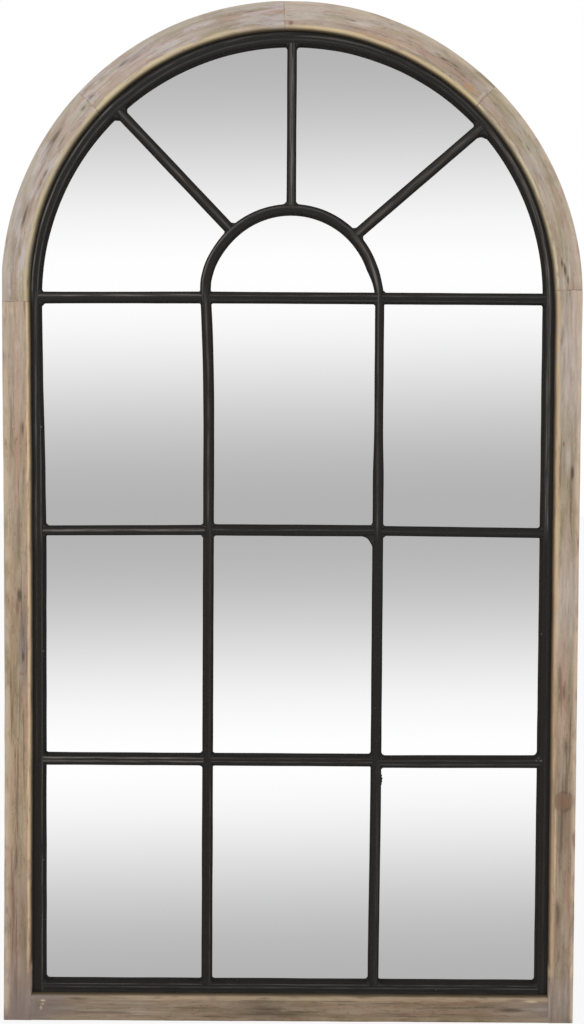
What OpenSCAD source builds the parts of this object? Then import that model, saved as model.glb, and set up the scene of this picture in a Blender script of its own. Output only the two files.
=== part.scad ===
// Arched wall mirror with a window grid of black bars in a wooden frame.
// Millimetres. Z is up, the front faces -Y and the wall side faces +Y.
// The origin is under the middle of the bottom rail, halfway through the frame's depth.

/* [Frame] */
// Overall width of the wooden frame
frame_w = 660.4; // [600:0.1:720]
// Overall height of the wooden frame, to the crown of the arch
frame_h = 1168.4; // [1050:0.1:1300]
// Depth of the wooden frame, front to back
frame_d = 30; // [29:0.5:40]
// Width of the wooden face, from the outer edge to the sight edge
face_w = 32; // [30:0.5:45]
// Radius of the sanded edge round the opening
inner_round = 4; // [1:0.5:6]
// Radius of the worn outer edge
outer_round = 2; // [0.5:0.5:5]

/* [Rabbets] */
// Thickness of the lip in front of the bars
lip_t = 8; // [6.5:0.5:9]
// How far the lip covers the rim of the grid
lip_w = 6; // [4:0.5:8]
// Width of the ledge that the backing board is screwed to
ledge_w = 8; // [7.5:0.5:10]
// Gap round the edge of the mirror and of the rim
edge_gap = 1; // [0.3:0.1:2]
// Gap round the edge of the backing board
board_gap = 0.7; // [0.3:0.1:1.5]

/* [Wood joints] */
// Height of the left stile's joint below the springing of the arch
left_joint_drop = 9; // [2:1:25]
// Height of the right stile's joint above the springing of the arch
right_joint_rise = 8; // [2:1:25]
// Angle of the right shoulder joint
right_shoulder_a = 46; // [40:0.5:50]
// Angle of the crown joint
crown_a = 92; // [86:0.5:96]
// Angle of the left shoulder joint
left_shoulder_a = 137; // [130:0.5:142]
// Diameter of the dowels
dowel_dia = 6; // [5:0.5:8]
// Length of the dowels
dowel_l = 30; // [20:1:40]
// Distance between the two dowels of a joint
dowel_pitch = 13; // [11:0.5:15]
// Glue gap round a dowel
glue_gap = 0.1; // [0.05:0.05:0.2]
// Gap at each end of a dowel
dowel_end_gap = 1; // [0.5:0.25:2]

/* [Bars] */
// Width of a bar
bar_w = 12; // [8:0.5:14]
// Depth of the bars
bar_d = 10; // [7:0.5:11]
// Radius of the two front edges of a bar
bar_round = 3; // [1:0.25:3.5]
// Width of the rim that shows inside the wood
rim_show = 12; // [8:0.5:15]
// Radius of the inner hoop, to the middle of its bar
hoop_r = 98; // [85:0.5:115]
// Height of the springing above the top row of cross bars
row_drop = 1.8; // [0:0.1:8]
// Height above the sight edge from which the rows are spaced
row_base = 4; // [0:0.5:20]
// Angle of the right spoke
right_spoke_a = 40.8; // [32:0.1:50]
// How far the right spoke stands beside the line through the springing, towards the left
right_spoke_side = 6; // [-8:0.5:8]
// Angle of the centre spoke
centre_spoke_a = 90; // [85:0.5:95]
// How far the centre spoke stands beside that line, towards the left
centre_spoke_side = 2; // [-8:0.5:8]
// Angle of the left spoke
left_spoke_a = 133.9; // [130:0.1:148]
// How far the left spoke stands beside that line, downwards
left_spoke_side = -1; // [-8:0.5:8]
// Leg of a weld fillet
weld_leg = 4; // [2:0.25:6]
// Leg of the one large fillet, below the middle row on the right leg of the inner hoop
big_weld_leg = 11; // [6:0.5:14]

/* [Mirror and board] */
// Thickness of the mirror
glass_t = 4; // [3:0.5:5]
// Thickness of the backing board
board_t = 5; // [3:0.5:6]
// Diameter of a backing screw
screw_dia = 3.5; // [2.5:0.5:4]
// Diameter of a backing screw's head
screw_head_dia = 6.4; // [5:0.1:7]
// Height of a backing screw's head
screw_head_h = 1.6; // [1:0.1:2]
// How deep a backing screw goes into the wood
screw_grip = 11; // [6:0.5:14]
// Distance of the end screws on a stile and on the rail from their ends
screw_end = 70; // [50:1:110]

/* [Hangers] */
// Distance of the rings' pivots below the springing
hanger_drop = 50; // [38:1:150]
// Width of a strap
strap_w = 11; // [10:0.5:13]
// Length of a strap below its pivot
strap_l = 34; // [32:0.5:45]
// Thickness of a strap
strap_t = 1.2; // [0.8:0.1:1.6]
// Width of the rolled loop
loop_w = 8.6; // [6:0.2:9]
// Diameter of a ring's wire
wire_dia = 2.3; // [1.8:0.1:2.5]
// Width of a ring, to the middle of its wire
ring_w = 14.6; // [14.4:0.2:15.4]
// Length of a ring, from its pivot to the middle of the wire at its end
ring_l = 14; // [12.5:0.1:15]
// Radius of a ring's two corners, to the middle of the wire
ring_corner = 2.4; // [2.2:0.1:2.8]
// Running gap round the wire in its loop
loop_gap = 0.3; // [0.2:0.05:0.5]
// Distance of the upper screw below the pivot
strap_screw_top = 20; // [19.8:0.1:21]
// Distance between the two screws of a strap
strap_screw_pitch = 9; // [7.5:0.5:9.5]
// Diameter of a hanger screw
strap_screw_dia = 3; // [2.5:0.5:3.5]
// Diameter of a hanger screw's head
strap_head_dia = 5.8; // [5:0.1:6.5]
// Height of a hanger screw's head
strap_head_h = 1.5; // [1:0.1:2]
// How deep a hanger screw goes into the wood
strap_screw_grip = 13; // [8:0.5:18]

/* [Wall bumpers] */
// Diameter of a bumper
bumper_dia = 14; // [10:0.5:16]
// Thickness of a bumper
bumper_t = 6; // [6:0.1:9]
// Height of the bumpers' centres
bumper_z = 30; // [12:1:80]

/* [Hidden] */
// Facets of a small round, of a screw's dome and of a long curve
$fn = 48;
dome_fn = 96;
arch_fn = 240;
// Cutting tools run this far past what they cut
over = 1;
// Play round a screw's shank
screw_gap = 0.1;

outer_r = frame_w / 2;
inner_r = outer_r - face_w;
spring_z = frame_h - outer_r;
front_y = -frame_d / 2;
back_y = frame_d / 2;
// Width of the flat land on the back, outside the board
land_w = face_w - lip_w - ledge_w;
land_mid = outer_r - land_w / 2;

// Planes from front to back
bar_front_y = front_y + lip_t;
mirror_front_y = bar_front_y + bar_d;
board_front_y = mirror_front_y + glass_t;
board_back_y = board_front_y + board_t;
recess = back_y - board_back_y;

// Outlines, each given by its arch radius
mirror_r = inner_r + lip_w - edge_gap;
board_r = outer_r - land_w - board_gap;
rim_in = inner_r - rim_show;
rim_out = mirror_r;
rim_w = rim_out - rim_in;
hoop_in = hoop_r - bar_w / 2;
hoop_out = hoop_r + bar_w / 2;
// Heights that go with those outlines at the bottom
rim_foot_z = outer_r - rim_out;
sill_top_z = outer_r - rim_in;

// Cross bars
top_row_z = spring_z - row_drop;
row_pitch = (top_row_z - face_w - row_base) / 3;
row_z = [top_row_z, top_row_z - row_pitch, top_row_z - 2 * row_pitch];

// Wood joints
left_joint_z = spring_z - left_joint_drop;
right_joint_a = asin(right_joint_rise / outer_r);
arch_joints = [right_joint_a, right_shoulder_a, crown_a, left_shoulder_a];

// Backing screws, in the middle of the ledge: four on each stile, three on the rail,
// and one in the middle of each arch segment
ledge_mid = outer_r - land_w - ledge_w / 2;
stile_screw_pitch = (spring_z - 2 * screw_end) / 3;
rail_screw_pitch = inner_r - screw_end;
arch_screw_angles = [
    (right_joint_a + right_shoulder_a) / 2,
    (right_shoulder_a + crown_a) / 2,
    (crown_a + left_shoulder_a) / 2,
    (left_shoulder_a + 180) / 2
];

// Hangers
hanger_z = spring_z - hanger_drop;
loop_bore = wire_dia / 2 + loop_gap;
loop_r = loop_bore + strap_t;
// The loop stands off the wood by this little
loop_lift = 0.1;
pivot_y = back_y + loop_lift + loop_r;
// Length of a strap's neck, between its loop and its plate
neck_l = 1;
// Radius of a strap's rounded end, in strap widths
strap_end = 0.6;

wood_colour = [0.66, 0.58, 0.50];
dowel_colour = [0.80, 0.66, 0.46];
bar_colour = [0.17, 0.16, 0.15];
weld_colour = [0.20, 0.19, 0.18];
mirror_colour = [0.86, 0.88, 0.89];
board_colour = [0.48, 0.36, 0.25];
zinc_colour = [0.74, 0.74, 0.72];
felt_colour = [0.22, 0.21, 0.20];

// Sweeps
// A section's x runs outwards from the middle of the arch, and its y runs forwards from back.

// Up the right side, between two heights
module along_side(from_z, to_z, back)
    translate([0, back, to_z])
        rotate([180, 0, 0])
            linear_extrude(to_z - from_z)
                children();

// Across, between two places on X. The section's origin lies at height z, and its x points down.
module along_row(from_x, to_x, z, back)
    translate([to_x, back, z])
        rotate([180, 90, 0])
            linear_extrude(to_x - from_x)
                children();

// Round the arch, between two angles
module along_arch(from_a, to_a, back)
    translate([0, back, spring_z])
        rotate([90, 0, 0])
            rotate([0, 0, from_a])
                rotate_extrude(angle = to_a - from_a, $fn = arch_fn)
                    children();

// Forwards from back, for an outline drawn in X and Z
module forwards(back, depth)
    translate([0, back, 0])
        rotate([90, 0, 0])
            linear_extrude(depth)
                children();

// To a place on the arch: local X points outwards and local Z along the arch
module at_arch(angle, radius)
    translate([0, 0, spring_z])
        rotate([0, -angle, 0])
            translate([radius, 0, 0])
                children();

// Outlines and sections

// Area with straight sides, a flat foot and a semicircle on top
module arched_area(radius, foot_z) {
    translate([0, spring_z])
        intersection() {
            circle(radius, $fn = arch_fn);
            translate([-radius - over, 0])
                square([2 * (radius + over), radius + over]);
        }
    translate([-radius, foot_z])
        square([2 * radius, spring_z - foot_z]);
}

// What a round of this radius takes off a corner at the origin's upper right
module corner_waste(radius)
    difference() {
        square(radius + over);
        circle(radius);
    }

// Wood of the frame, rounded on its outer front edge only
module blank_section()
    difference() {
        translate([inner_r, 0])
            square([face_w, frame_d]);
        translate([outer_r - outer_round, frame_d - outer_round])
            corner_waste(outer_round);
    }

// Room for the backing board
module board_rabbet_section()
    translate([inner_r - over, -over])
        square([over + lip_w + ledge_w, over + recess + board_t]);

// Room for the mirror and the rim of the grid
module grid_rabbet_section()
    translate([inner_r - over, -over])
        square([over + lip_w, over + frame_d - lip_t]);

// What the sanded edge round the opening takes off
module sanded_waste()
    translate([inner_r + inner_round, frame_d - inner_round])
        mirror([1, 0])
            corner_waste(inner_round);

module frame_section()
    difference() {
        blank_section();
        board_rabbet_section();
        grid_rabbet_section();
        sanded_waste();
    }

// Bar with two rounded front edges, centred on x
module bar_section()
    difference() {
        translate([-bar_w / 2, 0])
            square([bar_w, bar_d]);
        for (side = [0, 1])
            mirror([side, 0])
                translate([bar_w / 2 - bar_round, bar_d - bar_round])
                    corner_waste(bar_round);
    }

// Rim bar: wider, with one rounded front edge, towards the panes
module rim_section()
    difference() {
        translate([rim_in, 0])
            square([rim_w, bar_d]);
        translate([rim_in + bar_round, bar_d - bar_round])
            mirror([1, 0])
                corner_waste(bar_round);
    }

// Dowels and screws

// Two dowels across a joint, one towards the front and one towards the back
module dowel_pair(extra_r, extra_l)
    for (side = [-1, 1])
        translate([0, side * dowel_pitch / 2, 0])
            cylinder(h = dowel_l + extra_l, r = dowel_dia / 2 + extra_r, center = true);

module all_dowels(extra_r = 0, extra_l = 0) {
    for (angle = arch_joints)
        at_arch(angle, land_mid)
            dowel_pair(extra_r, extra_l);
    translate([-land_mid, 0, left_joint_z])
        dowel_pair(extra_r, extra_l);
    for (side = [-1, 1])
        translate([side * inner_r, 0, land_w / 2])
            rotate([0, 90, 0])
                dowel_pair(extra_r, extra_l);
}

// To each backing screw, with local Z pointing backwards out of the board
module at_backing_screws() {
    for (side = [-1, 1], i = [0 : 3])
        translate([side * ledge_mid, board_back_y, screw_end + i * stile_screw_pitch])
            rotate([-90, 0, 0])
                children();
    for (i = [-1 : 1])
        translate([i * rail_screw_pitch, board_back_y, outer_r - ledge_mid])
            rotate([-90, 0, 0])
                children();
    for (angle = arch_screw_angles)
        at_arch(angle, ledge_mid)
            translate([0, board_back_y, 0])
                rotate([-90, 0, 0])
                    children();
}

// To each hanger screw, with local Z pointing backwards out of the strap
module at_hanger_screws()
    for (side = [-1, 1], i = [0, 1])
        translate([side * land_mid, back_y + strap_t, hanger_z - strap_screw_top - i * strap_screw_pitch])
            rotate([-90, 0, 0])
                children();

// Screw with a low domed head that stands on z = 0
module screw(dia, below, head_dia, head_h) {
    dome_r = (head_dia * head_dia / 4 + head_h * head_h) / (2 * head_h);
    intersection() {
        cylinder(h = head_h + over, d = head_dia);
        translate([0, 0, head_h - dome_r])
            sphere(dome_r, $fn = dome_fn);
    }
    translate([0, 0, -below])
        cylinder(h = below, d = dia);
}

module screw_holes() {
    at_backing_screws()
        translate([0, 0, -board_t - screw_grip - over])
            cylinder(h = board_t + screw_grip + 2 * over, d = screw_dia + 2 * screw_gap);
    at_hanger_screws()
        translate([0, 0, -strap_t - strap_screw_grip - over])
            cylinder(h = strap_t + strap_screw_grip + 2 * over, d = strap_screw_dia + 2 * screw_gap);
}

// Takes the dowel and screw holes out of a wooden piece
module drilled()
    color(wood_colour)
        difference() {
            children();
            all_dowels(glue_gap, 2 * dowel_end_gap);
            screw_holes();
        }

// Wood

// Right-hand stile up to a height: its rabbets stop at the bottom rail,
// and its sanded edge meets the rail's at a mitre
module stile_post(top_z)
    difference() {
        along_side(0, top_z, back_y)
            blank_section();
        along_side(land_w, top_z + over, back_y)
            board_rabbet_section();
        along_side(land_w + ledge_w, top_z + over, back_y)
            grid_rabbet_section();
        along_side(face_w, top_z + over, back_y)
            sanded_waste();
        intersection() {
            along_side(face_w - inner_round, face_w, back_y)
                sanded_waste();
            along_row(inner_r - over, outer_r, outer_r, back_y)
                sanded_waste();
        }
    }

module stile_left()
    drilled()
        mirror([1, 0, 0])
            stile_post(left_joint_z);

module stile_right()
    drilled() {
        stile_post(spring_z);
        along_arch(0, right_joint_a, back_y)
            frame_section();
    }

module bottom_rail()
    drilled()
        along_row(-inner_r, inner_r, outer_r, back_y)
            frame_section();

module arch_right_lower()
    drilled()
        along_arch(right_joint_a, right_shoulder_a, back_y)
            frame_section();

module arch_right_upper()
    drilled()
        along_arch(right_shoulder_a, crown_a, back_y)
            frame_section();

module arch_left_upper()
    drilled()
        along_arch(crown_a, left_shoulder_a, back_y)
            frame_section();

module arch_left_lower()
    drilled()
        mirror([1, 0, 0]) {
            along_arch(0, 180 - left_shoulder_a, back_y)
                frame_section();
            along_side(left_joint_z, spring_z, back_y)
                frame_section();
        }

module joint_dowels()
    color(dowel_colour)
        all_dowels();

// Grid

module rim_hoop()
    color(bar_colour) {
        along_arch(0, 180, mirror_front_y)
            rim_section();
        for (side = [0, 1])
            mirror([side, 0, 0])
                along_side(rim_foot_z, spring_z, mirror_front_y)
                    rim_section();
    }

module rim_sill()
    color(bar_colour)
        along_row(-rim_in, rim_in, outer_r, mirror_front_y)
            rim_section();

module inner_hoop()
    color(bar_colour) {
        along_arch(0, 180, mirror_front_y)
            translate([hoop_r, 0])
                bar_section();
        for (side = [0, 1])
            mirror([side, 0, 0])
                along_side(sill_top_z, spring_z, mirror_front_y)
                    translate([hoop_r, 0])
                        bar_section();
    }

// Space of the panes: side is -1 for the left, 0 for the middle and 1 for the right
module pane_space(side)
    forwards(mirror_front_y, bar_d)
        if (side == 0)
            arched_area(hoop_in, sill_top_z);
        else
            intersection() {
                difference() {
                    arched_area(rim_in, sill_top_z);
                    arched_area(hoop_out, sill_top_z - over);
                }
                translate([side < 0 ? -outer_r : 0, 0])
                    square([outer_r, frame_h]);
            }

// One piece of a cross bar, coped to the uprights on both sides of its pane
module cross_bar(row, side)
    color(bar_colour)
        intersection() {
            along_row(-outer_r, outer_r, row_z[row], mirror_front_y)
                bar_section();
            pane_space(side);
        }

// Ring between the inner hoop and the rim, round the springing point as local origin
module fan_ring()
    translate([0, mirror_front_y, 0])
        rotate([90, 180, 0])
            difference() {
                cylinder(h = bar_d, r = rim_in, $fn = arch_fn);
                translate([0, 0, -over])
                    cylinder(h = bar_d + 2 * over, r = hoop_out, $fn = arch_fn);
            }

// One spoke, coped to the hoop and the rim, standing beside the line through the springing
module spoke(angle, beside)
    color(bar_colour)
        at_arch(angle, 0)
            intersection() {
                along_row(hoop_in, outer_r, beside, mirror_front_y)
                    bar_section();
                fan_ring();
            }

// Welds

// Centre of a fillet's hollow, in legs from its corner
weld_hollow = 1.2;

// Hollow fillet for a square corner at the origin, in the quarter where both axes are positive.
// It reaches back by root along x, to be trimmed where the upright it meets is curved.
module fillet_area(leg, root) {
    hollow = weld_hollow * leg;
    difference() {
        translate([-root, 0])
            square([leg + root, leg]);
        translate([hollow, hollow])
            circle(norm([hollow, hollow - leg]));
    }
}

// As deep as the flat sides of the bars
weld_d = bar_d - bar_round;
// How far a fillet reaches back before it is trimmed to a curved upright
weld_root = 1;

// A fillet in the corner at x and z, on the sides of both that are given
module fillet_at(x, z, x_side, z_side, root = 0, leg = weld_leg)
    forwards(mirror_front_y, weld_d)
        translate([x, z])
            mirror([x_side < 0 ? 1 : 0, 0])
                mirror([0, z_side < 0 ? 1 : 0])
                    fillet_area(leg, root);

// Leg of the fillet inside the inner hoop, where one is much larger than the rest
function hoop_leg(side, row, z_side) = side > 0 && row == 1 && z_side < 0 ? big_weld_leg : weld_leg;

// All corners of the straight part, where every face is flat
module square_fillets()
    for (side = [-1, 1]) {
        for (row = [0 : 2], z_side = [-1, 1])
            if (row > 0 || z_side < 0) {
                z = row_z[row] + z_side * bar_w / 2;
                fillet_at(side * rim_in, z, -side, z_side);
                fillet_at(side * hoop_out, z, side, z_side);
                fillet_at(side * hoop_in, z, -side, z_side, leg = hoop_leg(side, row, z_side));
            }
        fillet_at(side * rim_in, sill_top_z, -side, 1);
        fillet_at(side * hoop_out, sill_top_z, side, 1);
        fillet_at(side * hoop_in, sill_top_z, -side, 1);
    }

// Corners on top of the top row, against the start of the arches
module spring_fillets()
    for (side = [-1, 1]) {
        z = row_z[0] + bar_w / 2;
        intersection() {
            union() {
                fillet_at(side * rim_in, z, -side, 1, weld_root);
                fillet_at(side * hoop_out, z, side, 1, weld_root);
            }
            pane_space(side);
        }
        intersection() {
            fillet_at(side * hoop_in, z, -side, 1, weld_root);
            pane_space(0);
        }
    }

// Corners at both ends of a spoke
module spoke_fillets(angle, beside)
    at_arch(angle, 0)
        intersection() {
            for (z_side = [-1, 1]) {
                edge = beside + z_side * bar_w / 2;
                fillet_at(sqrt(hoop_out ^ 2 - edge ^ 2), edge, 1, z_side, weld_root);
                fillet_at(sqrt(rim_in ^ 2 - edge ^ 2), edge, -1, z_side, weld_root);
            }
            fan_ring();
        }

module weld_fillets()
    color(weld_colour) {
        square_fillets();
        spring_fillets();
        spoke_fillets(right_spoke_a, right_spoke_side);
        spoke_fillets(centre_spoke_a, centre_spoke_side);
        spoke_fillets(left_spoke_a, left_spoke_side);
    }

// Mirror and board

module mirror_sheet()
    color(mirror_colour)
        forwards(board_front_y, glass_t)
            arched_area(mirror_r, rim_foot_z);

module backing_board()
    color(board_colour)
        difference() {
            forwards(board_back_y, board_t)
                arched_area(board_r, outer_r - board_r);
            screw_holes();
        }

module backing_screws()
    color(zinc_colour)
        at_backing_screws()
            screw(screw_dia, board_t + screw_grip, screw_head_dia, screw_head_h);

// Hangers

// Outline of a strap, with y pointing down from its pivot: a neck, a plate and a rounded end
module strap_area() {
    shoulder_y = loop_r + neck_l;
    end_r = strap_end * strap_w;
    end_y = strap_l - end_r;
    translate([-loop_w / 2, 0])
        square([loop_w, shoulder_y + over]);
    translate([-strap_w / 2, shoulder_y])
        square([strap_w, end_y - shoulder_y]);
    intersection() {
        translate([0, end_y])
            circle(end_r);
        translate([-strap_w / 2, end_y])
            square([strap_w, end_r + over]);
    }
}

// Strap with a loop rolled at its top, in the middle of X
module strap() {
    difference() {
        union() {
            translate([0, back_y, hanger_z])
                rotate([-90, 0, 0])
                    linear_extrude(strap_t)
                        strap_area();
            translate([0, pivot_y, hanger_z])
                rotate([0, 90, 0])
                    cylinder(h = loop_w, r = loop_r, center = true);
        }
        translate([0, pivot_y, hanger_z])
            rotate([0, 90, 0])
                cylinder(h = strap_w, r = loop_bore, center = true);
        translate([-land_mid, 0, 0])
            screw_holes();
    }
}

module strap_right()
    color(zinc_colour)
        translate([land_mid, 0, 0])
            strap();

module strap_left()
    color(zinc_colour)
        translate([-land_mid, 0, 0])
            mirror([1, 0, 0])
                strap();

module hanger_screws()
    color(zinc_colour)
        at_hanger_screws()
            screw(strap_screw_dia, strap_t + strap_screw_grip, strap_head_dia, strap_head_h);

// D-ring of round wire, hanging down from its pivot: a straight leg through the loop,
// two corners, two sides and a semicircular end
module ring() {
    half_w = ring_w / 2;
    side_l = ring_l - ring_corner - half_w;
    wire_r = wire_dia / 2;
    translate([0, pivot_y, hanger_z]) {
        rotate([0, 90, 0])
            cylinder(h = 2 * (half_w - ring_corner), r = wire_r, center = true);
        for (side = [0, 1])
            mirror([side, 0, 0]) {
                translate([half_w - ring_corner, 0, -ring_corner])
                    rotate([90, 0, 0])
                        rotate_extrude(angle = 90)
                            translate([ring_corner, 0])
                                circle(wire_r);
                translate([half_w, 0, -ring_corner - side_l])
                    cylinder(h = side_l, r = wire_r);
            }
        translate([0, 0, -ring_corner - side_l])
            rotate([90, 0, 0])
                rotate([0, 0, 180])
                    rotate_extrude(angle = 180)
                        translate([half_w, 0])
                            circle(wire_r);
    }
}

module ring_right()
    color(zinc_colour)
        translate([land_mid, 0, 0])
            ring();

module ring_left()
    color(zinc_colour)
        translate([-land_mid, 0, 0])
            ring();

// Wall bumpers

module wall_bumper(side)
    color(felt_colour)
        translate([side * land_mid, back_y, bumper_z])
            rotate([-90, 0, 0])
                cylinder(h = bumper_t, d = bumper_dia);

stile_left();
stile_right();
bottom_rail();
arch_left_lower();
arch_left_upper();
arch_right_upper();
arch_right_lower();
joint_dowels();
rim_hoop();
rim_sill();
inner_hoop();
cross_bar(0, -1);  // top_bar_left
cross_bar(0, 0);  // top_bar_middle
cross_bar(0, 1);  // top_bar_right
cross_bar(1, -1);  // middle_bar_left
cross_bar(1, 0);  // middle_bar_middle
cross_bar(1, 1);  // middle_bar_right
cross_bar(2, -1);  // bottom_bar_left
cross_bar(2, 0);  // bottom_bar_middle
cross_bar(2, 1);  // bottom_bar_right
spoke(left_spoke_a, left_spoke_side);  // spoke_left
spoke(centre_spoke_a, centre_spoke_side);  // spoke_centre
spoke(right_spoke_a, right_spoke_side);  // spoke_right
weld_fillets();
mirror_sheet();
backing_board();
backing_screws();
strap_left();
strap_right();
hanger_screws();
ring_left();
ring_right();
wall_bumper(-1);  // wall_bumper_left
wall_bumper(1);  // wall_bumper_right
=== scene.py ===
"""Looks for the arched window-pane wall mirror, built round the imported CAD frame.

Lengths are in metres unless a name or a comment says millimetres. The mirror's front faces -Y and +Z is up.
"""

import itertools
import random
from math import acos, asin, atan2, ceil, copysign, cos, exp, hypot, inf, pi, radians, sin, sqrt

import bmesh
import bpy
from mathutils import Matrix, Vector, noise


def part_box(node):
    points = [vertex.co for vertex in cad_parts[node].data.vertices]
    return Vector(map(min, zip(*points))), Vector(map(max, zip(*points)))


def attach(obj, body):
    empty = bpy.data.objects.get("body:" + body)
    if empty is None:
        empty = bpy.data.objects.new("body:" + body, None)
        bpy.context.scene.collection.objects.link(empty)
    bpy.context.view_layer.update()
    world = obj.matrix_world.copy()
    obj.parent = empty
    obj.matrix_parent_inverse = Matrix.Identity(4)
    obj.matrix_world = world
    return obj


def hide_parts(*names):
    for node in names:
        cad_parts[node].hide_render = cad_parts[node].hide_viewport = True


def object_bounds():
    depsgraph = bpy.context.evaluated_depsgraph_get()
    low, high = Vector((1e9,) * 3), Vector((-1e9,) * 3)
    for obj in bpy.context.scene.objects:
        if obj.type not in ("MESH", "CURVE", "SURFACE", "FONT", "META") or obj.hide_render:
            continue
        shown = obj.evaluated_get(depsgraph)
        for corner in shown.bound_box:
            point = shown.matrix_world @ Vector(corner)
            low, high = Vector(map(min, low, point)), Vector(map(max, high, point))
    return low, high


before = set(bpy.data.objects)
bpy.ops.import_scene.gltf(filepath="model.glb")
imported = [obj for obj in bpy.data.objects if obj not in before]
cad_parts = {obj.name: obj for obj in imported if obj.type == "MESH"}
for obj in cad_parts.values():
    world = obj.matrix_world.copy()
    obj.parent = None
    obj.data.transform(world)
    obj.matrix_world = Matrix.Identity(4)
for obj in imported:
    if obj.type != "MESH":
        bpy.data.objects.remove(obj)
cad_low, cad_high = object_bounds()
bpy.context.scene.view_settings.view_transform = "Standard"

MM = 0.001
X, Y, Z = 0, 1, 2


def span(node, axis):
    """Lowest and highest coordinate of a CAD node along one axis."""
    low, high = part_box(node)
    return low[axis], high[axis]


# Driving values, all read from the frame
outer_r = cad_high.x
top_z = cad_high.z
spring_z = top_z - outer_r
path_length = 2 * spring_z + pi * outer_r
front_y, back_y = span("bottom_rail", Y)
inner_r = span("bottom_rail", X)[1]
bar_front_y, bar_back_y = span("rim_sill", Y)
rim_in = span("rim_sill", X)[1]
rim_out = span("rim_hoop", X)[1]
rim_foot_z = span("rim_hoop", Z)[0]
sill_top_z = span("rim_sill", Z)[1]
hoop_out = span("inner_hoop", X)[1]
hoop_in = span("bottom_bar_middle", X)[1]
hoop_r = (hoop_out + hoop_in) / 2
bar_half = (hoop_out - hoop_in) / 2
# Heights of the cross bars' middle lines
ROWS = {row: sum(span(row + "_bar_middle", Z)) / 2 for row in ("top", "middle", "bottom")}
board_half, board_foot_z = span("backing_board", X)[1], span("backing_board", Z)[0]
ledge_y = span("backing_board", Y)[0]

# Gaps round the grid and the board in their rabbets
rabbet_gap = 1 * MM
grid_wall = rim_out + rabbet_gap
board_wall = board_half + rabbet_gap


def arch_place(angle):
    """Distance along the frame's path to an angle of the arch."""
    return spring_z + outer_r * angle


def top_angle(board):
    """Angle of a board's upper end above the springing."""
    return asin((span(board, Z)[1] - spring_z) / outer_r)


# Where the boards' ends lie along the frame's path, from the right foot to the left one
crown_angle = acos(span("arch_right_upper", X)[0] / outer_r)
joints = [0, arch_place(top_angle("stile_right")), arch_place(top_angle("arch_right_lower")),
          arch_place(crown_angle), arch_place(pi - top_angle("arch_left_lower")),
          path_length - span("stile_left", Z)[1], path_length]

# Small faults of a hand-made frame, seen in the photograph, of up to about 5 mm.
# Each gives how far an edge stands outside its true outline, at a distance u along the frame
# from the right foot.
arch_swell, arch_lean, arch_skew = 0.6 * MM, 0.55 * MM, 1.6 * MM
left_bow = 1.7 * MM
sight_wide = 2.9 * MM
sight_left = -0.4 * MM
rim_flat, rim_small, rim_left = 2.0 * MM, 0.4 * MM, 4.6 * MM
sill_low = 0.8 * MM
rail_sight, rail_low = 1.3 * MM, 0.5 * MM
hoop_side = -1.6 * MM
hoop_swell = 0.6 * MM
leg_foot, leg_side, leg_in, left_knee = 0.7 * MM, 2.1 * MM, 2.7 * MM, -2.7 * MM
bend_low_z, bend_high_z = spring_z - 180 * MM, spring_z + 18 * MM
hoop_thin, thin_low_z = 1.1 * MM, spring_z - 210 * MM


def clamp(share):
    """A share kept between 0 and 1."""
    return min(1, max(0, share))


def ease(share):
    """0 below 0 and 1 above 1, with a soft step between."""
    share = clamp(share)
    return share * share * (3 - 2 * share)


def arch_angle(u):
    """Angle of the arch at a distance along the frame: 0 on the right stile and pi on the left."""
    return min(pi, max(0, (u - spring_z) / outer_r))


def left_height(u):
    """Height on the left stile as a share of the springing's, and 1 before it."""
    return min(1, (path_length - u) / spring_z)


def outer_stray(u):
    """Fault of the wood's outer edge."""
    if u < spring_z:
        return arch_swell - arch_lean
    angle, height = arch_angle(u), left_height(u)
    swell = (arch_swell - arch_lean * cos(angle) - arch_skew * sin(2 * angle)) * height ** 4
    return swell - left_bow * sin(pi * height)


def sight_stray(u):
    """Fault of the sight edge, which is sanded wider on the right stile."""
    wide = sight_wide * (1 - 0.5 * min(1, u / spring_z)) * ease((spring_z + 30 * MM - u) / (60 * MM))
    return outer_stray(u) + wide + sight_left * sin(arch_angle(u) / 2) ** 2 * left_height(u) ** 4


def rim_stray(u):
    """Fault of the rim's inner edge, which is flat on top and leans in on the left."""
    low = ease((u - path_length + spring_z) / (300 * MM))
    return rim_flat * cos(2 * arch_angle(u)) - rim_small - rim_left * low


def leg_shift(z, side):
    """Sideways shift of the inner hoop at a height, on its right, 1, or its left, -1."""
    if side > 0:
        low = leg_foot + (leg_side - leg_foot) * ease((z - 20 * MM) / (260 * MM))
        return low + (hoop_side - low) * clamp((z - spring_z + 2 * MM) / (36 * MM))
    bend = clamp((z - bend_low_z) / (bend_high_z - bend_low_z))
    back = (hoop_side - left_knee) * ease((z - spring_z - 32 * MM) / (30 * MM))
    return leg_in + (left_knee - leg_in) * bend ** 2.5 + back


def leg_thin(u):
    """How much narrower each half of the inner hoop's right leg is."""
    return hoop_thin * ease((u - thin_low_z) / (60 * MM)) * ease((spring_z + 120 * MM - u) / (80 * MM))


def ripple(place, size, seed):
    """Smooth repeatable noise between about -1 and 1 along a length."""
    return noise.noise(Vector((place / size, seed, 0.5)))


def on_path(u, r):
    """Front-view place at a distance u along the frame and r from its middle line."""
    if u < spring_z:
        return r, u
    if u > path_length - spring_z:
        return -r, path_length - u
    angle = (u - spring_z) / outer_r
    return r * cos(angle), spring_z + r * sin(angle)


def on_rail(u, r):
    """The same on the bottom rail, where u is x."""
    return u, outer_r - r


def path_place(x, z):
    """Distance along the frame, and from its middle line, of a front-view place."""
    if z < spring_z:
        return (z, x) if x > 0 else (path_length - z, -x)
    return arch_place(atan2(z - spring_z, x)), hypot(x, z - spring_z)


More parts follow.
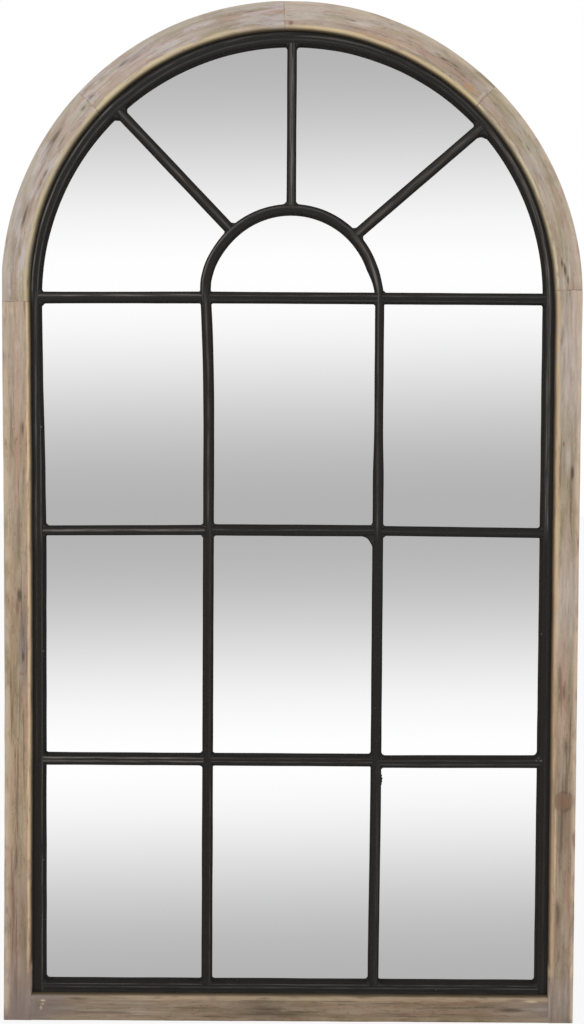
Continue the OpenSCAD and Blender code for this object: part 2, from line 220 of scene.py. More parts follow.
class Shell:
    """Points, faces and named values of one mesh."""

    def __init__(self, *names):
        self.points = []
        self.faces = []
        self.values = {name: [] for name in names}

    def skin(self, rings):
        """Adds one closed skin over rings of points, each point with its values behind it."""
        start, count = len(self.points), len(rings[0])
        for point, *numbers in itertools.chain(*rings):
            self.points.append(point)
            for kept, number in zip(self.values.values(), numbers):
                kept.append(number)
        last = len(self.points) - count
        for low in range(start, last, count):
            for j in range(count):
                k, high = (j + 1) % count, low + count
                self.faces.append((low + j, low + k, high + k, high + j))
        self.faces.append(tuple(range(start + count - 1, start - 1, -1)))
        self.faces.append(tuple(range(last, last + count)))

    def made(self, name, material, sharp=40):
        """The mesh as an object, with edges sharper than an angle in degrees kept sharp."""
        mesh = bpy.data.meshes.new(name)
        mesh.from_pydata(self.points, [], self.faces)
        for key, numbers in self.values.items():
            vector = isinstance(numbers[0], Vector)
            kept = mesh.attributes.new(key, "FLOAT_VECTOR" if vector else "FLOAT", "POINT")
            flat = list(itertools.chain(*numbers)) if vector else numbers
            kept.data.foreach_set("vector" if vector else "value", flat)
        tidy_mesh(mesh)
        mesh.shade_smooth()
        mesh.set_sharp_from_angle(angle=radians(sharp))
        mesh.materials.append(material)
        return new_object(name, mesh)


def tidy_mesh(mesh):
    """Joins points that coincide, drops empty faces and turns all faces outwards."""
    work = bmesh.new()
    work.from_mesh(mesh)
    bmesh.ops.remove_doubles(work, verts=work.verts, dist=1e-6)
    bmesh.ops.dissolve_degenerate(work, edges=work.edges, dist=1e-6)
    bmesh.ops.recalc_face_normals(work, faces=work.faces)
    work.to_mesh(mesh)
    work.free()


def new_object(name, data):
    """An object of its data, put in the scene."""
    made = bpy.data.objects.new(name, data)
    bpy.context.scene.collection.objects.link(made)
    return made


def steps(start, end, size):
    """Even steps from start to end, none longer than size."""
    count = max(1, ceil(abs(end - start) / size))
    return [start + (end - start) * i / count for i in range(count + 1)]


def between(first, last, count):
    """Even values between two ends, without the ends."""
    return [first + (last - first) * i / count for i in range(1, count)]


# Node helpers that the materials share

def colour(*parts):
    """A colour as it looks on a screen, in parts from 0 to 255, in linear values."""
    shares = [part / 255 for part in parts]
    return *(share / 12.92 if share <= 0.04045 else ((share + 0.055) / 1.055) ** 2.4 for share in shares), 1


def plug(node, inputs):
    """Links or sets a shader node's inputs."""
    for key, value in inputs.items():
        if isinstance(value, bpy.types.NodeSocket):
            node.id_data.links.new(value, node.inputs[key])
        else:
            node.inputs[key].default_value = value


def add(tree, kind, inputs, **settings):
    """A new shader node with its settings and inputs."""
    made = tree.nodes.new("ShaderNode" + kind)
    for key, value in settings.items():
        setattr(made, key, value)
    plug(made, inputs)
    return made


def sums(operation, *values):
    """A Math node's result, in the tree that the first socket is from."""
    tree = next(value.id_data for value in values if isinstance(value, bpy.types.NodeSocket))
    return add(tree, "Math", dict(enumerate(values)), operation=operation).outputs[0]


def product(result, *factors):
    """Several values multiplied."""
    for factor in factors:
        result = sums("MULTIPLY", result, factor)
    return result


def smooth(value, low, high):
    """0 at low and 1 at high, with a soft step between."""
    inputs = {"Value": value, "From Min": low, "From Max": high}
    return add(value.id_data, "MapRange", inputs, interpolation_type="SMOOTHSTEP").outputs["Result"]


def blend(share, first, second):
    """A mix of two colours."""
    return add(share.id_data, "Mix", {0: share, 6: first, 7: second}, data_type="RGBA").outputs[2]


def stretched_noise(vector, scales, detail=3, roughness=0.55, distortion=0, turn=0):
    """Noise scaled by different amounts along, across and into the surface."""
    place = add(vector.id_data, "Mapping", {"Vector": vector, "Scale": scales, "Rotation": (0, 0, turn)})
    inputs = {"Vector": place.outputs["Vector"], "Scale": 1, "Detail": detail, "Roughness": roughness}
    return add(vector.id_data, "TexNoise", {**inputs, "Distortion": distortion}).outputs["Fac"]


def object_noise(tree, scales, detail=3, roughness=0.55):
    """Noise on the object's own coordinates."""
    return stretched_noise(add(tree, "TexCoord", {}).outputs["Object"], scales, detail, roughness)


def attribute(tree, name, output="Fac"):
    """A named value kept on the mesh."""
    return add(tree, "Attribute", {}, attribute_name=name).outputs[output]


def bare_tree(owner):
    """The node tree of a material or a world, without nodes."""
    owner.use_nodes = True
    owner.node_tree.nodes.clear()
    return owner.node_tree


def new_material(name):
    """A material, its node tree and its principled shader, which is linked to its output."""
    material = bpy.data.materials.new(name)
    tree = bare_tree(material)
    shader = add(tree, "BsdfPrincipled", {})
    add(tree, "OutputMaterial", {"Surface": shader.outputs["BSDF"]})
    return material, tree, shader


def finish_surface(shader, shown, roughness, height, relief):
    """Gives the shader a colour, a roughness and a height in metres."""
    bump = add(shader.id_data, "Bump", {"Height": height, "Strength": 1.0, "Distance": relief})
    plug(shader, {"Base Color": shown, "Roughness": roughness, "Normal": bump.outputs["Normal"]})


# Wood

# Tones of the boards as they look on a screen, how strong their layers are, and in millimetres
# how wide the golden line is and how far the painted shade at the sight edge reaches
ARCH_TONES = dict(
    base=(187, 172, 159), band=(168, 152, 135), pale=(200, 192, 192), streak=(134, 111, 94),
    pink=(183, 154, 139), olive=(167, 157, 129), gold=(214, 196, 158), shade=(84, 73, 52),
    edge=(186, 176, 160), wash=0.6, flame=0.42, fleck=0.3, glow=0.85, line=7.2, falloff=3.8,
)
LEFT_LOW_TONES = dict(ARCH_TONES, gold=(202, 184, 150), falloff=4.8, line=7.6)
RIGHT_ARCH_TONES = dict(
    ARCH_TONES, base=(182, 165, 145), band=(165, 147, 124), pale=(193, 184, 178), gold=(216, 193, 152),
    edge=(198, 182, 162), wash=0.45, fleck=0.65, line=6.0, falloff=3.3,
)
RIGHT_LOW_TONES = dict(
    RIGHT_ARCH_TONES, gold=(218, 203, 172), wash=0.35, flame=0.3, fleck=0.4, line=5.8, falloff=4.4,
)
STILE_TONES = dict(
    base=(181, 157, 129), band=(159, 138, 110), pale=(188, 170, 151), streak=(110, 91, 72),
    pink=(182, 146, 125), olive=(153, 139, 109), gold=(219, 189, 153), shade=(92, 77, 54),
    edge=(198, 179, 156), wash=0.38, flame=0.65, fleck=0.2, glow=0.95, line=5.4, falloff=3.6,
)
RIGHT_STILE_TONES = dict(
    STILE_TONES, base=(171, 149, 126), band=(144, 127, 105), pink=(177, 141, 121), gold=(204, 174, 138),
    edge=(208, 186, 162), glow=0.85, line=6.8, falloff=3.7,
)
RAIL_TONES = dict(
    base=(156, 136, 113), band=(135, 117, 94), pale=(167, 150, 129), streak=(90, 75, 59),
    pink=(149, 122, 100), olive=(126, 112, 84), gold=(178, 156, 129), shade=(84, 73, 54),
    edge=(160, 142, 119), wash=0.4, flame=0.65, fleck=0.2, glow=0.75, line=7.0, falloff=3.0,
)
# Patches and streaks: tone, fineness along, across and into the wood, where the noise starts to show them
# and shows them fully, strength, and turn against the grain in degrees
LAYERS = (
    ("olive", (9, 100, 50), 0.48, 0.61, 0.7, 0),
    ("pink", (5, 160, 70), 0.48, 0.6, 0.8, 0),
    ("pale", (17, 95, 50), 0.48, 0.59, "wash", 0),
    ("streak", (8, 240, 100), 0.55, 0.65, "flame", 0),
    ("streak", (42, 290, 150), 0.57, 0.65, "fleck", 5),
    ("streak", (62, 400, 200), 0.59, 0.66, 0.5, 0),
    ("pale", (80, 380, 200), 0.6, 0.69, 0.5, 0),
    ("streak", (290, 360, 300), 0.64, 0.7, 0.6, 0),
)
RAW_BACK = colour(158, 128, 96)
SEAM = colour(70, 58, 46)
STAIN = colour(78, 66, 54)
# Paint and strength of the marks, whose edges follow the fibres, and of the washes, which change slowly
MARK_PAINTS = {
    "dark_mark": (STAIN, 0.8), "pale_mark": (colour(214, 190, 156), 0.85),
    "red_mark": (colour(133, 102, 81), 0.8), "ring_mark": (STAIN, 0.42),
    "amber_mark": (colour(192, 146, 100), 0.6),
}
WASH_PAINTS = {
    "pale_wash": colour(202, 191, 182), "dark_wash": colour(104, 90, 79), "lilac_wash": colour(130, 117, 113),
}
MARK_KINDS = (*MARK_PAINTS, *WASH_PAINTS, "dull_line")


def wood_material(name, tones, seed):
    """Weathered, part whitewashed softwood with streaks and sanded corners, painted shade along the sight
    edge and a lighter outer corner that is partly a painted highlight.
    """
    material, tree, shader = new_material(name)
    tone = {key: colour(*value) for key, value in tones.items() if isinstance(value, tuple)}
    moved = seed, seed * 0.37, seed * 0.11
    grain = add(tree, "VectorMath", {0: attribute(tree, "grain", "Vector"), 1: moved}).outputs["Vector"]
    across = attribute(tree, "across")
    depth = attribute(tree, "depth")

    fibre = stretched_noise(grain, (26, 330, 200), detail=5, roughness=0.7)
    bands = stretched_noise(grain, (5, 82, 40))
    shown = blend(smooth(bands, 0.4, 0.6), tone["band"], tone["base"])
    for key, scales, low, high, strength, turn in LAYERS:
        patch = stretched_noise(grain, scales, 4, 0.6, 0.1, radians(turn))
        share = product(smooth(patch, low, high), tones.get(strength, strength))
        shown = blend(share, shown, tone[key])
    for key, paint in WASH_PAINTS.items():
        shown = blend(product(attribute(tree, key), fibre, 2), shown, paint)
    fray = sums("MULTIPLY_ADD", fibre, 1.2, -0.6)
    for key, (paint, strength) in MARK_PAINTS.items():
        mark = sums("ADD", attribute(tree, key), fray)
        shown = blend(product(smooth(mark, 0.25, 0.95), strength), shown, paint)

    # A sanded golden line runs inside the sight edge, and painted shade darkens the corner under it, next to
    # the bars
    wander = stretched_noise(grain, (24, 1, 1), detail=4, roughness=0.65)
    golden_end = sums("MULTIPLY_ADD", wander, 5 * MM, (tones["line"] - 2.5) * MM)
    golden = smooth(sums("SUBTRACT", golden_end, across), 0.0, 1.8 * MM)
    broken = smooth(stretched_noise(grain, (42, 300, 100)), 0.3, 0.52)
    bright = sums("SUBTRACT", 1, attribute(tree, "dull_line"))
    shown = blend(product(golden, broken, bright, tones["glow"]), shown, tone["gold"])
    # Painted shade in the corner beside the bars, reaching in as far as the falloff
    shown = blend(smooth(across, tones["falloff"] * MM, -0.4 * MM), shown, tone["shade"])

    # The outer corner is lighter: partly rubbed wear, partly a painted highlight where its rounding faces the
    # white surroundings
    outside, shallow = smooth(across, 22 * MM, 28.5 * MM), smooth(depth, 3.5 * MM, 1.5 * MM)
    patchy = smooth(stretched_noise(grain, (30, 90, 30)), 0.34, 0.58)
    shown = blend(product(outside, shallow, patchy, 0.85), shown, tone["edge"])

    # The joints' seams, and the bare back
    seam = smooth(attribute(tree, "seam"), 0.8 * MM, 0.1 * MM)
    broken = smooth(stretched_noise(grain, (170, 170, 80)), 0.42, 0.58)
    shown = blend(product(seam, broken, 0.6), shown, SEAM)
    thickness = back_y - front_y
    shown = blend(smooth(depth, thickness - 3 * MM, thickness - MM), shown, RAW_BACK)
    value = sums("MULTIPLY_ADD", fibre, 0.6, 0.71)
    shown = add(tree, "HueSaturation", {"Value": value, "Color": shown}).outputs["Color"]

    rough = sums("MULTIPLY_ADD", fibre, 0.25, 0.55)
    height = sums("ADD", fibre, bands)
    finish_surface(shader, shown, rough, height, 0.35 * MM)
    plug(shader, {"Specular IOR Level": 0.25})
    return material


# Marks on the wood in millimetres: x, z, half length along the grain, half width, and strength.
# A dull line weakens the golden line.
MARKS = {
    "stile_left": dict(
        dark_mark=((-311, 494, 10, 3.6, 1.05), (-309, 466, 30, 6.5, 0.45), (-306.5, 423, 9, 2, 0.95),
            (-306.5, 453, 14, 2, 0.7), (-307, 686, 14, 2.6, 0.85), (-320, 660, 14, 2.4, 0.6),
            (-306, 626, 26, 2, 0.6), (-315, 188, 22, 3.2, 0.75), (-322, 330, 30, 2.2, 0.45),
            (-305, 96, 24, 2.2, 0.5)),
        pale_mark=((-320, 818, 9, 7, 0.5), (-324, 560, 60, 2.2, 0.4)),
        red_mark=((-313, 481, 14, 3, 0.95), (-308, 404, 3, 5, 0.7), (-302.4, 422, 26, 1.3, 0.95),
            (-319.5, 358, 26, 2.2, 0.95)),
        pale_wash=((-302, 20, 16, 3, 0.5), (-323, 40, 26, 3, 0.35), (-312, 62, 14, 1.6, 0.4),
            (-315, 600, 90, 60, 0.12), (-315, 785, 80, 60, 0.3)),
        dark_wash=((-315, 15, 45, 60, 0.2), (-315, 120, 70, 60, 0.3), (-329, 2, 5, 5, 0.7)),
        lilac_wash=((-315, 0, 70, 90, 0.75), (-306, 436, 50, 4.5, 0.9)),
        dull_line=((-315, 20, 60, 60, 1),),
    ),
    "stile_right": dict(
        dark_mark=((305.4, 300, 130, 0.9, 0.45), (315, 386, 16, 5, 0.62), (318, 322, 18, 5, 0.62),
            (321, 638, 10, 2.2, 1.2), (322, 650, 26, 2.6, 0.5), (311, 127, 26, 4, 0.8),
            (308, 797, 14, 3, 0.55)),
        pale_mark=((305, 520, 120, 3, 0.8), (307, 215, 90, 1.5, 0.8), (304.6, 300, 50, 1.3, 0.6),
            (327.5, 60, 12, 1.6, 1), (328, 86, 8, 1.2, 0.8), (311, 372, 40, 3, 0.35)),
        red_mark=((316, 259.2, 13, 12, 1.3), (310.5, 671, 4, 1.6, 1.1), (306.5, 788, 9, 1.6, 0.9)),
        ring_mark=((316, 259.2, 11, 10, 0.75),),
        amber_mark=((325, 330, 60, 4, 0.4),),
        pale_wash=((315, 490, 62, 60, 0.5), (315, 775, 110, 60, 0.6), (303, 21, 16, 1.5, 0.6),
            (309, 12, 10, 1.3, 0.45), (316, 24, 26, 12, 0.25), (314, 30, 16, 1.3, 0.5),
            (321.5, 33, 20, 1.4, 0.55), (327, 40, 10, 1.3, 0.4), (316, 658, 28, 4, 0.6)),
        dark_wash=((315, 240, 70, 60, 0.3), (329, 2, 6, 8, 0.7), (306, 30, 16, 1.6, 0.3),
            (318, 22, 18, 1.6, 0.3)),
        lilac_wash=((315, 0, 50, 90, 0.5),),
        dull_line=((315, 250, 170, 60, 0.6), (315, 15, 62, 60, 1)),
    ),
    "bottom_rail": dict(
        dark_mark=((257, 15, 24, 3, 1), (-21, 15, 26, 2.6, 0.75), (-244, 26, 12, 2.4, 0.8),
            (120, 10, 30, 2.2, 0.5)),
        pale_mark=((-284.2, 23.4, 3.4, 1.2, 1.2), (-284.6, 19.4, 3, 1.1, 1), (-286.8, 14.6, 1.6, 3.4, 1),
            (282, 25, 10, 1.6, 1.1), (150, 28, 30, 1.4, 0.55), (-120, 27, 40, 1.4, 0.5)),
        pale_wash=((-190, 16, 45, 60, 0.16), (-280, 16, 30, 60, 0.24), (275, 16, 30, 60, 0.16),
            (-296, 20, 3, 18, 0.5), (-262, 14.6, 18, 1.2, 0.7), (292, 16, 10, 3, 0.4)),
        dark_wash=((-34, 16, 38, 60, 0.46), (-272, 16, 28, 60, 0.4), (225, 16, 60, 60, 0.14),
            (-100, 16, 30, 60, 0.15)),
        lilac_wash=((-298, 16, 40, 90, 0.75), (300, 16, 26, 90, 0.5)),
        dull_line=((-270, 16, 55, 90, 0.9),),
    ),
    "arch_left_lower": dict(
        dark_mark=((-270, 1014, 22, 3.2, 0.9), (-276, 1002, 18, 2.6, 0.7), (-304, 926, 22, 3, 0.8),
            (-310, 890, 20, 3, 0.55), (-238, 1047, 7, 2.2, 0.8), (-281, 973, 12, 2, 0.85),
            (-262, 1010, 12, 1.6, 0.7)),
        red_mark=((-296, 940, 30, 3, 0.7), (-287, 960, 14, 2, 0.8)),
        pale_wash=((-280, 970, 70, 60, 0.26), (-296, 960, 26, 5, 0.5), (-245, 1040, 16, 5, 0.6)),
    ),
    "arch_left_upper": dict(
        dark_mark=((-192, 1098, 16, 3, 0.75), (-229, 1060, 8, 2.2, 0.75)),
        red_mark=((-180, 1104, 24, 3.5, 0.8), (-202, 1106, 18, 2, 0.8)),
        pale_wash=((-190, 1088, 50, 60, 0.28), (-120, 1128, 30, 5, 0.4), (-54, 1147, 16, 4, 0.55),
            (-214, 1072, 14, 5, 0.5)),
        dark_wash=((-70, 1144, 30, 60, 0.1),),
        dull_line=((-34, 1146, 44, 60, 0.75),),
    ),
    "arch_right_upper": dict(
        dark_mark=((150, 1112, 20, 3, 0.5), (150, 1131.5, 90, 1, 0.8), (66, 1147, 7, 1.2, 0.9),
            (182, 1098, 10, 1.3, 0.9), (191, 1087, 9, 1.3, 0.8), (170, 1104, 9, 1.2, 0.8)),
        red_mark=((-3.5, 1143.8, 3.5, 3, 1.2), (60, 1140, 50, 5, 0.55)),
        amber_mark=((95, 1127, 44, 3, 0.9), (199, 1072.5, 12, 3.2, 1), (176, 1083, 14, 2.2, 0.8)),
        pale_wash=((35, 1150, 60, 60, 0.3), (20, 1151, 16, 3, 0.6), (72, 1144, 16, 3.5, 0.7),
            (212, 1063.5, 1.2, 7, 0.9)),
        dark_wash=((185, 1092, 26, 60, 0.2),),
        dull_line=((-8, 1146, 12, 60, 0.7),),
    ),
    "arch_right_lower": dict(
        dark_mark=((309.3, 868.6, 9, 1.7, 1), (312.9, 857.3, 8, 1.6, 1), (305.8, 877.6, 8, 1.5, 0.9),
            (290, 970, 14, 3, 0.5), (256.5, 1014.6, 9, 1.4, 0.8), (265.6, 1005.7, 9, 1.4, 0.8)),
        amber_mark=((312, 912, 46, 5, 0.5), (300, 950, 24, 4, 0.4)),
        pale_wash=((288, 950, 26, 5, 0.4), (314, 868, 14, 1.6, 0.7), (308, 856, 12, 1.6, 0.6),
            (270, 1000, 24, 4, 0.4)),
    ),
}

# The boards from the right foot to the left one: name, tones and seed
BOARDS = (("stile_right", RIGHT_STILE_TONES, 1.3), ("arch_right_lower", RIGHT_LOW_TONES, 2.9),
          ("arch_right_upper", RIGHT_ARCH_TONES, 4.1), ("arch_left_upper", ARCH_TONES, 5.7),
          ("arch_left_lower", LEFT_LOW_TONES, 7.3), ("stile_left", STILE_TONES, 8.9))

round_in, round_out, round_back = 4.2 * MM, 2.2 * MM, 1.0 * MM
seam_width, seam_depth = 1.0 * MM, 0.25 * MM
# Width of the dark ring round a knot, as a share of the knot's size
ring_width = 0.22


def corner(centre_r, centre_y, radius, start, end, count):
    """Points of a rounded corner, from one angle to another in degrees."""
    angles = [radians(start + (end - start) * i / count) for i in range(count + 1)]
    return [(centre_r + radius * cos(a), centre_y + radius * sin(a)) for a in angles]


def wood_section(in_r, out_r, inner, outer, grid_r, board_r):
    """The frame's section as (r, y), from the lip's back edge round the front to the rabbets."""
    points = [(in_r, bar_front_y), (in_r, (bar_front_y + front_y + inner) / 2)]
    points += corner(in_r + inner, front_y + inner, inner, 180, 270, 8)
    points += [(r, front_y) for r in between(in_r + inner, out_r - outer, 20)]
    points += corner(out_r - outer, front_y + outer, outer, 270, 360, 5)
    points += [(out_r, y) for y in between(front_y + outer, back_y - round_back, 7)]
    points += corner(out_r - round_back, back_y - round_back, round_back, 0, 90, 3)
    points += [((out_r + board_r) / 2, back_y), (board_r, back_y), (board_r, ledge_y)]
    return points + [(grid_r, ledge_y), (grid_r, bar_front_y)]


def placed_marks(name):
    """A board's marks in metres, placed along the frame and from its middle line."""
    placed = []
    for kind, marks in MARKS[name].items():
        for x, z, half_length, half_width, strength in marks:
            x, z = x * MM, z * MM
            u, r = (x, outer_r - z) if name == "bottom_rail" else path_place(x, z)
            placed.append((kind, u, r, half_length * MM, half_width * MM, strength))
    return placed


def mark_values(marks, u, r):
    """Strength of each kind of mark at a place."""
    strongest = dict.fromkeys(MARK_KINDS, 0.0)
    for kind, mark_u, mark_r, half_length, half_width, strength in marks:
        far = hypot((u - mark_u) / half_length, (r - mark_r) / half_width)
        if kind == "ring_mark":
            far = (far - 1) / ring_width
        strongest[kind] = max(strongest[kind], strength * exp(-far ** 2))
    return strongest.values()


def wood_piece(name, start, end, place, tones, seed):
    """One board, swept between two places on its path, with a seam groove at each end."""
    shell = Shell("grain", "across", "depth", "seam", *MARK_KINDS)
    rail = place is on_rail
    marks = placed_marks(name)
    stations = [start, start + seam_width / 2, start + seam_width]
    stations += steps(start + 2 * seam_width, end - 2 * seam_width, 2 * MM)
    stations += [end - seam_width, end - seam_width / 2, end]
    rings = []
    for u in stations:
        to_end = min(u - start, end - u)
        above_floor = inf if rail else min(u, path_length - u)
        foot, beside_rail = above_floor < 3 * MM, above_floor < outer_r - inner_r
        seam = 0 if foot else max(0, 1 - to_end / seam_width)
        from_seam = 50 * MM if foot else to_end + (0.35 * MM if rail else 0)
        sight, edge = (rail_sight, rail_low) if rail else (sight_stray(u), outer_stray(u))
        in_r = inner_r + sight + (0 if beside_rail else 0.35 * MM * ripple(u, 0.03, seed))
        out_r = outer_r + edge - 0.35 * MM * abs(ripple(u, 0.05, seed + 9)) - seam_depth * seam / 2
        # Below the rabbets the section closes up to the sight edge
        grid_r = grid_wall if above_floor >= rim_foot_z - rabbet_gap else in_r + 0.02 * MM
        board_r = board_wall if above_floor >= board_foot_z - rabbet_gap else in_r + 0.04 * MM
        plain = 14 * MM * (1 - ease((above_floor - 26 * MM) / (50 * MM)))
        inner = 0.4 * MM if beside_rail else round_in * (1 + 0.3 * ripple(u, 0.09, seed + 3))
        outer = round_out * (1 + 0.35 * ripple(u, 0.06, seed + 5))
        ring = []
        for r, y in wood_section(in_r, out_r, inner, outer, grid_r, board_r):
            x, z = place(u, r)
            if y < front_y + MM:
                worn = 0.45 * MM * max(0, noise.noise(Vector((x / 0.05, z / 0.05, seed))))
                y += worn + seam_depth * seam
            point = min(outer_r, max(-outer_r, x)), y, min(top_z, max(0, z))
            strengths = mark_values(marks if y < front_y + 3 * MM else (), u, r)
            ring.append((point, Vector((u, r, y)), max(r - in_r, plain), y - front_y, from_seam, *strengths))
        rings.append(ring)
    shell.skin(rings)
    made = shell.made("wood_" + name, wood_material("wood_" + name, tones, seed), sharp=50)
    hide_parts(name)
    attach(made, "frame")


# Bars

def paint_material(name, base, light, shine):
    """Black paint with lighter lines, painted highlights that are partly rubbed paint, sides in a painted
    lighter tone, specks and an uneven sheen.
    """
    material, tree, shader = new_material(name)
    grain = attribute(tree, "grain", "Vector")
    highlight_and_rub = attribute(tree, "highlight_and_rub")
    streak = stretched_noise(grain, (30, 900, 500), detail=4, roughness=0.6)
    patch = stretched_noise(grain, (26, 60, 60))
    speck = stretched_noise(grain, (900, 1100, 900), detail=1)
    shown = blend(patch, colour(*base), colour(base[0] + 5, base[1] + 2, base[2] + 1))
    # Painted highlights: the lighter lines along the bars, partly rubbed paint
    shown = blend(product(highlight_and_rub, smooth(streak, 0.3, 0.68)), shown, colour(*light))
    # The sides get a slightly lighter tone, a painted sheen in place of the one that full roughness takes off
    # them
    sides = product(highlight_and_rub, -1)
    shown = blend(sides, shown, colour(36, 33, 31))
    shown = blend(product(smooth(speck, 0.66, 0.74), 0.25), shown, colour(*light))
    rough = sums("MAXIMUM", sums("MULTIPLY_ADD", patch, 0.3, shine), sides)
    finish_surface(shader, shown, rough, sums("ADD", streak, patch), 0.15 * MM)
    plug(shader, {"Specular IOR Level": 0.22})
    return material


bar_paint = paint_material("bar_paint", (30, 28, 26), (122, 117, 111), 0.32)
# The welds get a darker copy of the bars' paint: painted shade that tones down how brightly the beads' slopes
# catch the light
shaded_weld_paint = paint_material("shaded_weld_paint", (29, 26, 24), (112, 106, 100), 0.3)

edge_round, back_round = 3.0 * MM, 0.8 * MM
# How far a bar's end lies inside the bar that it meets, and its face behind the rim's
tuck, set_back = 5 * MM, 0.25 * MM
face_step = 0.9 * MM
# Length over which a painted highlight line fades out, in millimetres
line_end = 30

# Painted highlight lines along the bars, partly rubbed paint, in millimetres: distance from the outer or
# lower edge, width, strength.
# On the two hoops they are given by where along the hoop they run, from the foot of the right leg.
LINES = {
    "rim_hoop": {
        (0, 290): ((14.2, 0.8, 0.45), (8, 1.4, 0.12)), (290, 540): ((14.2, 0.8, 0.15), (7.5, 1.4, 0.1)),
        (540, 811): ((14.4, 0.8, 1.2), (11.2, 0.8, 0.65), (8.8, 0.9, 0.7)),
        (811, 1020): ((16.4, 0.8, 0.9), (12.2, 0.8, 0.6), (10, 0.9, 0.9)),
        (1020, 1270): ((13.8, 0.8, 0.25), (9.8, 1.1, 0.5)), (1270, 1490): ((13.6, 0.8, 0.3), (7.4, 1.1, 0.5)),
        (1490, 1737): ((12.6, 0.8, 0.45), (6.2, 0.7, 1.7)),
        (1737, 2015): ((16.2, 0.9, 0.6), (10.2, 1.1, 0.5)),
        (2015, 2270): ((17.1, 0.7, 0.25), (10.8, 0.8, 0.15)), (2270, 2548): ((17.2, 0.9, 0.5),),
    },
    "inner_hoop": {
        (0, 260): ((4.5, 1.2, 0.15), (2, 1, 0.2)), (530, 810): ((7, 1.2, 0.4),), (810, 872): ((6, 1.4, 1.1),),
        (872, 952): ((4, 1.2, 0.4),), (952, 1028): ((3.2, 1.1, 0.7),), (1028, 1107): ((2.6, 1, 1.2),),
        (1107, 1370): ((6, 1.2, 0.5),), (1370, 1640): ((8.4, 1, 0.15),), (1640, 1906): ((10, 1, 0.5),),
    },
    "rim_sill": ((14, 0.8, 0.55), (10.2, 0.8, 0.4), (5, 1.2, 0.15)),
    "top_bar_left": ((8.3, 1, 1),),
    "top_bar_middle": ((8.3, 0.8, 0.35), (2.6, 0.7, 0.3)),
    "top_bar_right": ((8.3, 0.8, 0.35), (2.6, 0.7, 0.3)),
    "middle_bar_left": ((6.1, 1.2, 1),),
    "middle_bar_middle": ((7.2, 0.8, 0.3),),
    "middle_bar_right": ((5.4, 0.8, 0.1),),
    "bottom_bar_left": ((9, 0.8, 1.3), (5.2, 0.9, 0.85)),
    "bottom_bar_middle": ((9, 0.7, 0.3), (5.2, 0.7, 0.35)),
    "bottom_bar_right": ((8.7, 0.7, 0.25), (4.4, 0.7, 0.35)),
    "spoke_left": ((6, 1.2, 0.6),), "spoke_centre": ((5.4, 2.2, 0.8),), "spoke_right": ((6, 2.2, 0.5),),
}


def bar_section(half, front, count):
    """A bar's section as (across, y), with count steps on its face."""
    middle_y = (bar_back_y + front) / 2
    points = [(back_round - half, bar_back_y), (-half, bar_back_y - back_round), (-half, middle_y)]
    points += corner(edge_round - half, front + edge_round, edge_round, 180, 270, 6)
    points += [(across, front) for across in between(edge_round - half, half - edge_round, count)]
    points += corner(half - edge_round, front + edge_round, edge_round, 270, 360, 6)
    return points + [(half, middle_y), (half, bar_back_y - back_round), (half - back_round, bar_back_y)]


def highlight_and_rub_at(run, from_edge, lines):
    """How strong the painted highlight lines, partly rubbed paint, are by the run along the bar and the
    distance from its edge.
    """
    if isinstance(lines, tuple):
        lines = {(-inf, inf): lines}
    total = 0.0
    for (start, end), stretch in lines.items():
        here = ease((run / MM - start) / line_end + 0.5) * ease((end - run / MM) / line_end + 0.5)
        for place, width, strength in stretch:
            total += strength * (here * exp(-((from_edge / MM - place) / width) ** 2))
    return total


def bar(name, path, halves, seed, front=bar_front_y + set_back):
    """A painted bar along front-view points, with half its width at each of them."""
    shell = Shell("grain", "highlight_and_rub")
    count = round(2 * max(halves) / face_step)
    rings = []
    run = 0.0
    for i, half in enumerate(halves):
        before, here, after = [Vector(path[min(len(path) - 1, max(0, i + step))]) for step in (-1, 0, 1)]
        forward = (after - before).normalized()
        side = Vector((-forward.y, forward.x))
        run += (here - before).length
        swell = 1 + 0.03 * ripple(run, 0.035, seed)
        lift = 0.12 * MM * ripple(run, 0.05, seed + 4)
        ring = []
        for across, y in bar_section(half, front, count):
            spot = here + side * across * swell
            depth = y + (lift if y < front + edge_round else 0)
            # Painted highlight lines on the face, and -1 on the sides for their own tone
            highlight_rub = highlight_and_rub_at(run, across + half, LINES[name]) if y < front + 0.3 * MM else -1.0
            ring.append(((spot.x, depth, spot.y), Vector((run + seed, across, y)), highlight_rub))
        rings.append(ring)
    shell.skin(rings)
    made = shell.made("painted_" + name, bar_paint)
    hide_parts(name)
    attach(made, "frame")


def straight_bar(name, first, last, half, seed):
    """A bar between two places, with points every few millimetres."""
    first, last = Vector(first), Vector(last)
    path = [first.lerp(last, share) for share in steps(0, 1, 4 * MM / (last - first).length)]
    bar(name, path, [half] * len(path), seed)


def spoke_ends(name):
    """The two middle points of a spoke's ends, from its own mesh."""
    points = [Vector((v.co.x, v.co.z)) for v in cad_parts[name].data.vertices]
    hub = Vector((0, spring_z))
    outward = (sum(points, Vector((0, 0))) / len(points) - hub).normalized()
    side = Vector((-outward.y, outward.x))
    reach = [(point - hub).dot(outward) for point in points]

    def end_at(far, out):
        offsets = [(p - hub).dot(side) for p, place in zip(points, reach) if abs(place - far) < 12 * MM]
        return hub + outward * (far + out * tuck) + side * ((min(offsets) + max(offsets)) / 2)
    return end_at(min(reach), -1), end_at(max(reach), 1)


def row_reach(z):
    """Where the uprights' faces lie at a height, from the left rim to the right one."""
    left, right, thin = leg_shift(z, -1), leg_shift(z, 1), leg_thin(z)
    left_rim, right_rim = rim_in + rim_stray(path_length - z), rim_in + rim_stray(z)
    return (-left_rim, left - hoop_out, left - hoop_in,
            right + hoop_in + thin, right + hoop_out - thin, right_rim)


